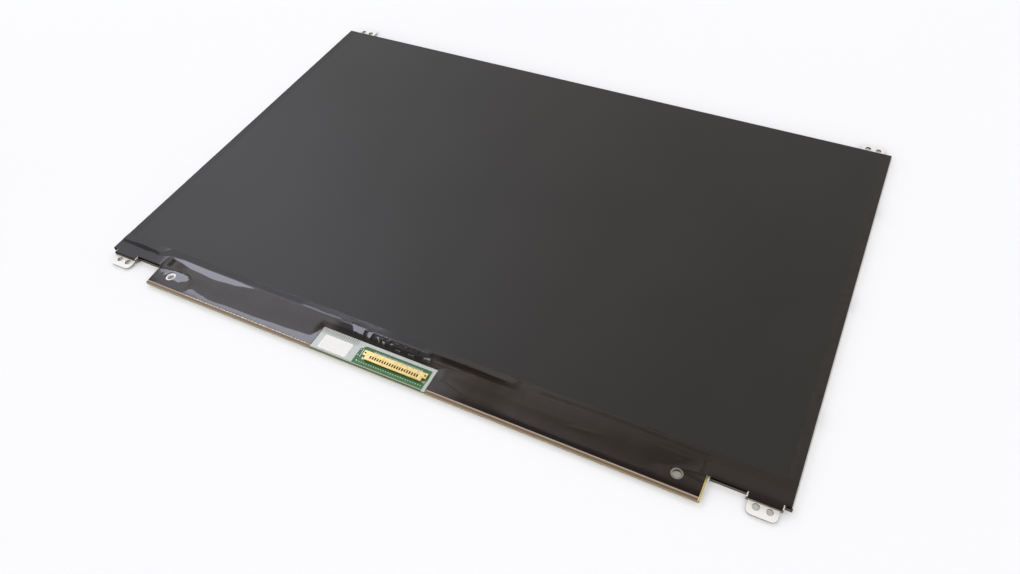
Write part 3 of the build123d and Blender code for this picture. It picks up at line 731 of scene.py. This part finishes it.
cell_glass = new_finish("cell_glass", IOR=1.52, Coat_Weight=0.3)
streak = grain(cell_glass, 35.0, 2.0)
feed(cell_glass, Base_Color=two_tone(streak, (0.010, 0.013, 0.012), (0.016, 0.019, 0.018)))
feed(cell_glass, Roughness=spread(grain(cell_glass, 500.0), 0.05, 0.12))
paint(cell_glass, "array_glass", "colour_filter_glass")
print("frame and glass done")

# %% [markdown]
# ## The circuit board
# The board is glass-fibre laminate under green lacquer. Where the tape ends, a bare strip of brown
# laminate shows along its front edge, and the sawn side shows pale and dark layers. The finish
# measures the distance from the front edge and the height, and steps through a ramp for each. In the
# tape's window, and on the underside, the lacquer shows.

# %% Board finish
(_, board_front, board_bottom), (_, _, board_top) = [
    [value / MM for value in corner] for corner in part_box("control_board")
]
board_laminate = new_finish("board_laminate", IOR=1.5)
fibre = grain(board_laminate, 2400.0, 3.0, (0.4, 1.0, 1.0))
lacquer_noise = grain(board_laminate, 800.0, 2.0)
green = two_tone(lacquer_noise, (0.030, 0.125, 0.036), (0.045, 0.165, 0.05))

from_front = measure(board_laminate, "Y", board_front, board_front + 2.0)
bare_tones = [
    (0.0, (0.21, 0.155, 0.10)), (0.08, (0.15, 0.105, 0.066)), (0.42, (0.20, 0.145, 0.095)),
    (0.5, (0.42, 0.34, 0.25)),
]
bare = ramp(from_front, bare_tones, True)
near_front = bands(board_laminate, "Y", board_front, board_front + 4.0, [(0.0, on), (0.36, off)])
face_colour = blend(near_front, (0.035, 0.030, 0.024), bare)

window_margin = 10.0
margin_share = window_margin / (window_right - window_left + 2 * window_margin)
window_stops = [(0.0, off), (margin_share, on), (1.0 - margin_share, off)]
in_window = bands(
    board_laminate, "X", window_left - window_margin, window_right + window_margin, window_stops)
edge_line = ramp(from_front, [(0.0, (0.035, 0.06, 0.025)), (0.2, (0.40, 0.42, 0.30))], True)
very_front = ramp(from_front, [(0.0, on), (0.38, off)], True)
lacquered = blend(very_front, green, edge_line)
face_colour = blend(in_window, face_colour, lacquered)
face_colour = blend(faces(board_laminate, "Z", -1, 0.5), face_colour, green)

height_share = measure(board_laminate, "Z", board_bottom, board_top)
sawn_tones = [
    (0.0, (0.15, 0.092, 0.04)), (0.3, (0.23, 0.155, 0.078)), (0.5, (0.16, 0.10, 0.05)),
    (0.65, (0.31, 0.22, 0.125)), (0.9, (0.16, 0.105, 0.055)),
]
green_tones = [(0.0, (0.34, 0.32, 0.22)), (0.4, (0.05, 0.07, 0.03)), (0.9, (0.03, 0.09, 0.03))]
sawn = ramp(height_share, sawn_tones, True)
sawn_green = ramp(height_share, green_tones, True)
side_colour = blend(in_window, sawn, sawn_green)
side_colour = blend(near_front, (0.030, 0.021, 0.012), side_colour)
print("board from", round(board_front, 2), "top", round(board_top, 2))

# %% [markdown]
# ### Its plated end
# The right end of the board carries bright plating with a row of dark dashes, where a saw cut through a
# line of plated holes. A wave texture draws the dashes. Its bands turn by 20 radians per unit, so the
# helper works out the scale for a pitch in millimetres.

# %% Plated end of the board
def stripes(material, axis, pitch):
    """A soft wave along one axis, from 0 to 1 and back once per pitch in millimetres."""
    tree = material.node_tree
    place = add(tree, "TexCoord")
    turns = {"Scale": 2.0 * math.pi / (20 * pitch * MM)}
    wave = add(tree, "TexWave", turns, wave_type="BANDS", bands_direction=axis)
    join(place.outputs["Object"], wave.inputs["Vector"])
    return wave.outputs["Fac"]


dash_pitch = 0.75
right_end = bands(board_laminate, "X", apron_right - 4, apron_right + 4, [(0.0, off), (0.5, on)])
middle_stops = [(0.0, off), (0.40, on), (0.70, off)]
middle_line = bands(board_laminate, "X", apron_right, apron_right + 0.6, middle_stops)
dashes = ramp(stripes(board_laminate, "Y", dash_pitch), [(0.0, off), (0.4, on)], True)
dark_dash = both_true(middle_line, dashes)
plating = blend(dark_dash, (0.72, 0.58, 0.22), (0.10, 0.085, 0.05))
face_colour = blend(right_end, face_colour, plating)
level_face = faces(board_laminate, "Z", 0, 0.5)
feed(board_laminate, Base_Color=blend(level_face, side_colour, face_colour))
feed(board_laminate, Roughness=spread(fibre, 0.3, 0.5))
bumps(board_laminate, fibre, 0.00001, 0.6)
paint(board_laminate, "control_board")
print("plated end from", apron_right)

# %% [markdown]
# ## Bright little things
# Tinned pads and rings, a gold-coloured socket shell and cream plastic. They are only a few pixels
# wide in the main picture, so their gloss and colour matter more than fine texture, but each still
# gets some tarnish so that it doesn't look like a chart colour. The right ring is browner than the left.
# The wall of the right ring's hole, the contacts inside the socket and the mouth of its housing are painted
# dark as shade.

# %% Metals and plastics of the socket
tin_tones = (0.50, 0.56, 0.46), (0.64, 0.68, 0.58)
tinned_metal = grained_finish(
    "tinned_metal", (1500.0, 4.0), tin_tones, (0.35, 0.55), (0.00001, 0.5), Metallic=1.0)
paint(tinned_metal, "board_pads")

gold_tones = (0.56, 0.41, 0.14), (0.82, 0.66, 0.31)
gold_metal = grained_finish(
    "gold_metal", (900.0, 5.0), gold_tones, (0.26, 0.42), (0.000006, 0.5), Metallic=1.0)
paint(gold_metal, "connector_shell")

ring_metal = new_finish("ring_metal")
worn = grain(ring_metal, 1500.0, 4.0)
at_right = bands(ring_metal, "X", -110.0, 110.0, [(0.0, off), (0.5, on)])
bright_top = two_tone(worn, (0.60, 0.565, 0.53), (0.78, 0.75, 0.72))
brown_top = two_tone(worn, (0.34, 0.285, 0.23), (0.46, 0.395, 0.33))
ring_top = blend(at_right, bright_top, brown_top)
# painted shade: the right ring's hole wall is near black; the left one's wall is pale and barely metallic
ring_wall_and_shade = blend(at_right, (0.93, 0.90, 0.86), (0.030, 0.020, 0.010))
ring_faces = faces(ring_metal, "Z", 0, 0.5)
feed(ring_metal, Base_Color=blend(ring_faces, ring_wall_and_shade, ring_top))
feed(ring_metal, Metallic=spread(ring_faces, 0.1, 1.0))
feed(ring_metal, Roughness=spread(worn, 0.3, 0.48))
bumps(ring_metal, worn, 0.00001, 0.5)
paint(ring_metal, "ground_rings")

contact_metal = new_finish("contact_metal", Metallic=1.0)
stain = grain(contact_metal, 1500.0, 4.0)
behind = bands(contact_metal, "Y", -89.5, -87.5, [(0.0, off), (0.5, on)])
tin = two_tone(stain, (0.52, 0.55, 0.50), (0.74, 0.76, 0.72))
# painted shade: the contacts inside the housing are dark brown, their tails behind it tinned
feed(contact_metal, Base_Color=blend(behind, (0.10, 0.055, 0.015), tin))
feed(contact_metal, Roughness=spread(stain, 0.3, 0.5))
paint(contact_metal, "connector_contacts")

socket_plastic = new_finish("socket_plastic", IOR=1.48)
cream = grain(socket_plastic, 1800.0, 3.0)
cream_colour = two_tone(cream, (0.46, 0.28, 0.11), (0.58, 0.38, 0.17))
# painted shade: below its top the housing is near black, inside the socket's mouth
mouth_shade = bands(socket_plastic, "Z", 1.9, 3.0, [(0.0, on), (0.62, off)])
feed(socket_plastic, Base_Color=blend(mouth_shade, cream_colour, (0.022, 0.012, 0.005)))
feed(socket_plastic, Roughness=spread(cream, 0.4, 0.55))
paint(socket_plastic, "connector_housing", "led_tail_socket")
print("socket finishes done")

# %% [markdown]
# ## Films and the label
# A silvery shielding film lies in the tape's window and carries one small white paper label, which
# stays blank here. Near the tape the leads of a driver film press through it as ribs, and the furrows
# between them are painted darker as shade. The driver films behind it show rows of fine leads. A wave
# texture across X draws furrows and leads at their real pitch.

# %% Films, leads and label
rib_pitch, lead_pitch = 0.9, 0.42
shield_grey = new_finish("shield_grey", Metallic=0.55)
brushed = grain(shield_grey, 1600.0, 4.0, (1.0, 0.15, 1.0))
silver = two_tone(brushed, (0.45, 0.485, 0.455), (0.56, 0.595, 0.565))
ribbed_part = measure(shield_grey, "Y", -88.2, -86.6)
ribbed_part = both_true(ribbed_part, measure(shield_grey, "X", -15.5, -17.5))
# painted shade: the furrows between the ribs are darker
furrow_shade = both_true(ribbed_part, stripes(shield_grey, "X", rib_pitch))
feed(shield_grey, Base_Color=blend(furrow_shade, silver, (0.29, 0.31, 0.295)))
feed(shield_grey, Roughness=spread(brushed, 0.36, 0.52))
bumps(shield_grey, brushed, 0.000008, 0.5)

paper_tones = (0.81, 0.82, 0.825), (0.90, 0.91, 0.915)
label_white = grained_finish(
    "label_white", (2200.0, 5.0), paper_tones, (0.5, 0.7), (0.00001, 0.4), IOR=1.45)
paint(label_white, "blank_label")

amber_film = new_finish("amber_film", Metallic=0.35)
leads = stripes(amber_film, "X", lead_pitch)
lead_colour = two_tone(leads, (0.27, 0.27, 0.235), (0.66, 0.67, 0.63), (0.35, 0.6))
feed(amber_film, Base_Color=lead_colour, Roughness=spread(leads, 0.5, 0.32))
bumps(amber_film, leads, 0.00003, 0.7)
paint(amber_film, "source_film_1", "source_film_2", "source_film_3", "source_film_4", "led_flex_strip")
print("films and label done")

# %% [markdown]
# ## The shielding film
# In the tape's window a thin metallised film lies on the board and runs up under the tape. Near the
# tape it lies over the leads of a driver film, and these press through it as a row of small ribs. The
# same skin helper makes it: the ribs are a wave in the height, strongest at the tape and fading out.

# %% Shielding film
film_left, film_right, film_front, film_back = -32.5, 15.0, -94.35, -85.14
film_thickness, film_foot = 0.06, -95.1
opening_left, opening_right, opening_back, opening_cut = -15.0, 13.75, -86.45, 1.6
rib_height = 0.10
emboss_x, emboss_y, emboss_height = -17.9, -91.4, 0.05


def film_covers(x, y):
    """All four corners of a cell, three on the cut corner of the opening, or none."""
    if y > opening_back or x > opening_right:
        return True
    if x < opening_left:
        return y > film_front
    past_cut = (x - opening_left) - (y - opening_back + opening_cut)
    if abs(past_cut) < 0.001:
        return (0, 2, 3)
    return past_cut < 0 and x < opening_left + opening_cut


def film_point(x, y):
    """The film on the board, up over the driver film and ribbed by its leads."""
    rise = 0.055 * ease(y, -86.6, -86.2) + 0.035 * ease(y, -85.4, film_back)
    ribbed = ease(y, -88.4, -86.4) * (1 - ease(x, -17.5, -15.5))
    rise += rib_height * ribbed * (0.5 + 0.5 * math.cos(2 * math.pi * x / rib_pitch))
    rise += emboss_height * (1 - ease(math.hypot(x - emboss_x, y - emboss_y), 0.15, 0.5))
    return Vector((x, y, board_top + rise)) * MM


film_cuts_x = [film_left, opening_left, opening_left + opening_cut, opening_right, film_right]
film_cuts_y = [film_foot, film_front, opening_back - opening_cut, opening_back, film_back]
film_x = steps(film_cuts_x, 0.15, 0.2, opening_left, opening_right)
film_y = steps(film_cuts_y, 0.2, 0.2, film_front, film_back)
shield_sheet = build_skin(
    "shield_sheet", film_x, film_y, film_covers, film_point, film_thickness, shield_grey)
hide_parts("shield_film")
print("shielding film faces:", len(shield_sheet.data.polygons))

# %% [markdown]
# ## Solder and marks on the board
# Boards carry many tiny things that are only tenths of a millimetre high: tinned stitches along the
# bare strip, and white printed strokes beside the socket. Each is a small block that stands on the
# board. A random generator with a fixed seed gives the stitches their uneven hand-soldered lengths.

# %% Tiny blocks on the board
import random

stitch_height, mark_height = 0.05, 0.02
stitch_start, stitch_stop, stitch_line = -91.0, -34.5, -93.93


def tiny_blocks(name, blocks, height, material):
    """One piece of small blocks on the board: each has its two ends and its width in millimetres."""
    mesh = bmesh.new()
    for (x0, y0), (x1, y1), width in blocks:
        run = Vector((x1 - x0, y1 - y0, 0.0)).normalized()
        side = Vector((-run.y, run.x, 0.0)) * width / 2
        ends = (Vector((x0, y0, 0)), Vector((x1, y1, 0)))
        foot = [ends[0] - side, ends[1] - side, ends[1] + side, ends[0] + side]
        low = [mesh.verts.new((p + Vector((0, 0, board_top))) * MM) for p in foot]
        top = [mesh.verts.new((p + Vector((0, 0, board_top + height))) * MM) for p in foot]
        mesh.faces.new(top)
        mesh.faces.new(low[::-1])
        for k in range(4):
            mesh.faces.new([low[k], low[k - 3], top[k - 3], top[k]])
    piece = new_piece(name, mesh, material)
    print(name, "blocks:", len(blocks))


solder_tones = (0.66, 0.65, 0.62), (0.84, 0.83, 0.80)
solder = grained_finish("solder_white", (1800.0, 3.0), solder_tones, (0.3, 0.5), Metallic=0.4)
draw = random.Random(7)
stitches, stitch_x = [], stitch_start
while stitch_x < stitch_stop:
    stitch_y = stitch_line + draw.uniform(-0.05, 0.05)
    stitch_end = stitch_x + draw.uniform(0.35, 1.0)
    stitches.append(((stitch_x, stitch_y), (stitch_end, stitch_y), draw.uniform(0.18, 0.3)))
    stitch_x = stitch_end + draw.uniform(0.45, 1.3)
tiny_blocks("edge_stitches", stitches, stitch_height, solder)
marks = [
    ((-13.72, -87.6), (-13.45, -91.3), 0.17),
    ((-14.6, -90.9), (-14.2, -90.7), 0.3),
    ((-14.35, -87.35), (-14.05, -87.25), 0.22),
    ((-14.6, -88.35), (-14.3, -88.3), 0.25),
    ((-13.8, -92.95), (-13.5, -92.85), 0.3),
]
tiny_blocks("printed_marks", marks, mark_height, label_white)

# %% [markdown]
# ## Inside the stack and under the board
# These pieces show only from below or at an open edge: chips, small capacitors, the optical sheets
# and the lamps. They still get honest finishes, because someone will turn the panel over.

# %% Hidden pieces
chip_tones = (0.012, 0.012, 0.013), (0.024, 0.024, 0.025)
chip_epoxy = grained_finish(
    "chip_epoxy", (2800.0, 3.0), chip_tones, (0.45, 0.65), (0.00002, 0.6), IOR=1.5)
paint(chip_epoxy, "timing_controller", "power_converter", "led_driver", "memory_chip", "power_inductor")
paint(chip_epoxy, "source_driver_1", "source_driver_2", "source_driver_3", "source_driver_4")

ceramic_tones = (0.19, 0.12, 0.07), (0.27, 0.18, 0.11)
part_ceramic = grained_finish("part_ceramic", (3000.0, 3.0), ceramic_tones, (0.35, 0.5), IOR=1.6)
paint(part_ceramic, "board_capacitors", "board_resistors")

clear_tones = (0.80, 0.83, 0.84), (0.88, 0.90, 0.90)
clear_sheet = grained_finish(
    "clear_sheet", (300.0,), clear_tones, (0.08, 0.18), IOR=1.49, Transmission_Weight=0.7)
paint(clear_sheet, "light_guide_plate")

milk_tones = (0.80, 0.80, 0.80), (0.87, 0.87, 0.87)
white_sheet = grained_finish("white_sheet", (400.0,), milk_tones, (0.3, 0.5), IOR=1.5)
paint(white_sheet, "reflector_sheet", "diffuser_sheet", "lower_prism_sheet", "upper_prism_sheet")

tint_tones = (0.014, 0.014, 0.016), (0.02, 0.02, 0.023)
dark_film = grained_finish("dark_film", (80.0,), tint_tones, (0.15, 0.3), IOR=1.5)
paint(dark_film, "rear_polariser")

lamp_tones = (0.80, 0.72, 0.28), (0.86, 0.84, 0.78)
lamp_body = grained_finish("lamp_body", (1200.0,), lamp_tones, (0.3, 0.5), places=(0.35, 0.65), IOR=1.5)
paint(lamp_body, "led_chips")
print("hidden pieces done")

# %% [markdown]
# ## Table and light
# The table is plain white. It glows a little by itself for what the camera and reflections see, so
# that it reads as white paper, and still takes the panel's soft shadow.

# %% Table
table_size, table_drop, table_glow = 30.0, 0.00005, 0.05
table_mesh = bpy.data.meshes.new("table")
sheet = bmesh.new()
bmesh.ops.create_grid(sheet, x_segments=8, y_segments=8, size=table_size)
sheet.to_mesh(table_mesh)
sheet.free()
table = bpy.data.objects.new("table", table_mesh)
table.location.z = -table_drop
scene.collection.objects.link(table)

glow_colour = (1.0, 0.92, 0.76, 1.0)
table_white = new_finish("table_white", Roughness=0.9, Specular_IOR_Level=0.0, Emission_Color=glow_colour)
soft = grain(table_white, 3.0, 2.0)
rays = add(table_white.node_tree, "LightPath").outputs
mirrored = either_true(rays["Is Glossy Ray"], rays["Is Transmission Ray"])
seen = either_true(rays["Is Camera Ray"], mirrored)
paper_white = two_tone(soft, (0.882, 0.911, 0.973), (0.896, 0.925, 0.987))
feed(table_white, Base_Color=paper_white, Emission_Strength=spread(seen, 0.0, table_glow))
table_mesh.materials.append(table_white)
print("table", table.dimensions[:2])

# %% [markdown]
# ### The room
# The room is a soft sky that is brighter behind the camera than behind the panel, so white things
# are well lit while the dark screen still mirrors a dim wall. Towards the window the wall glows, and
# this glow is what makes the left half of the screen paler. The ceiling is dim, which deepens the
# shade in holes and folds. All of it is a colour for each direction.

# %% Room
room = bpy.data.worlds.new("room")
room.use_nodes = True
scene.world = room
sky = room.node_tree
background = sky.nodes["Background"]
look = add(sky, "TexCoord").outputs["Generated"]


def toward(direction, far, near, far_colour, near_colour):
    """A sky colour that changes with the cosine to one direction."""
    dot = add(sky, "VectorMath", {1: direction}, operation="DOT_PRODUCT")
    join(look, dot.inputs[0])
    limits = {"From Min": far, "From Max": near}
    share = add(sky, "MapRange", limits, interpolation_type="SMOOTHSTEP")
    join(dot.outputs["Value"], share.inputs["Value"])
    return blend(share.outputs["Result"], far_colour, near_colour)


def combined(first, second, how):
    """Two sky colours added or multiplied."""
    mix = add(sky, "Mix", {0: 1.0}, data_type="RGBA", blend_type=how)
    join(first, mix.inputs[6])
    join(second, mix.inputs[7])
    return mix.outputs[2]


walls = toward((0.0, -1.0, 0.0), -0.25, 1.0, (0.60, 0.585, 0.565), (2.16, 2.07, 1.94))
ceiling = toward((0.0, 0.0, 1.0), 0.86, 0.97, on, (0.4, 0.4, 0.4))
wall_glow = toward((-0.545, 0.535, 0.645), 0.84, 0.995, off, (0.34, 0.345, 0.395))
window_halo = toward((-0.595, 0.358, 0.719), 0.94, 0.995, off, (0.63, 0.67, 0.87))
glows = combined(wall_glow, window_halo, "ADD")
join(combined(combined(walls, ceiling, "MULTIPLY"), glows, "ADD"), background.inputs["Color"])
print("sky nodes:", len(sky.nodes))

# %% [markdown]
# ### The window
# The window itself is a slim bright rectangle, far away. Flat tape at the left mirrors it towards the
# camera. Tape that leans by two or three degrees misses it and stays dark, so every fold shows. It is
# placed by the direction in which the camera sees it mirrored in one spot of the tape's flat lens.

# %% Window
window_light = bpy.data.lights.new("window_light", "AREA")
window_light.shape = "RECTANGLE"
window_light.size = 0.88
window_light.size_y = 0.34
window_light.energy = 4.4
window_light.color = (0.80, 0.825, 1.0)
window = bpy.data.objects.new("window_light", window_light)

lens_spot = Vector((-75.0, -85.0, 2.5)) * MM
window_distance, window_along, window_across = 3.0, 0.178, 0.078
away = Vector((-0.5955, 0.4067, 0.6928)).normalized()
long_side = Vector((0.7994, 0.2139, 0.5614)).normalized()
short_side = away.cross(long_side)


def window_plane(u, w):
    """A place on the window's plane, from metres along its long and its short side."""
    return lens_spot + away * window_distance + long_side * u + short_side * w


turn = Matrix((long_side, short_side, away)).transposed().to_4x4()
window.matrix_world = Matrix.Translation(window_plane(window_along, window_across)) @ turn
scene.collection.objects.link(window)
print("window at", [round(v, 2) for v in window.location])

# %% [markdown]
# ### Dark cards
# Gloss needs dark things to mirror as well as bright ones. Three felt-covered cards hang beside the
# window, as in a studio. One is mirrored by the stiff pleat, one by the crease at the left end and one
# by the flat strip of tape along the board's front edge. Each is given by four corners on the window's
# plane, as metres along its long and short side.

# %% Dark cards
card_felt = new_finish("card_felt", Roughness=0.95)
felt = grain(card_felt, 40.0, 3.0)
feed(card_felt, Base_Color=two_tone(felt, (0.15, 0.15, 0.155), (0.21, 0.21, 0.215)))
cards = {
    "pleat_card": [(0.80, -0.285), (1.235, -0.285), (1.235, -0.125), (0.80, -0.125)],
    "crease_card": [(-0.43, -0.33), (-0.25, -0.33), (-0.25, -0.150), (-0.43, -0.150)],
    "front_card": [(1.01, -0.02), (2.32, 0.09), (2.32, 0.15), (1.01, 0.04)],
}
for name, corners in cards.items():
    card_mesh = bpy.data.meshes.new(name)
    card_mesh.from_pydata([window_plane(u, w) for u, w in corners], [], [(0, 1, 2, 3)])
    card_mesh.materials.append(card_felt)
    card = bpy.data.objects.new(name, card_mesh)
    scene.collection.objects.link(card)
print("dark cards:", len(cards))

# %% [markdown]
# ## Finish

bpy.context.view_layer.update()
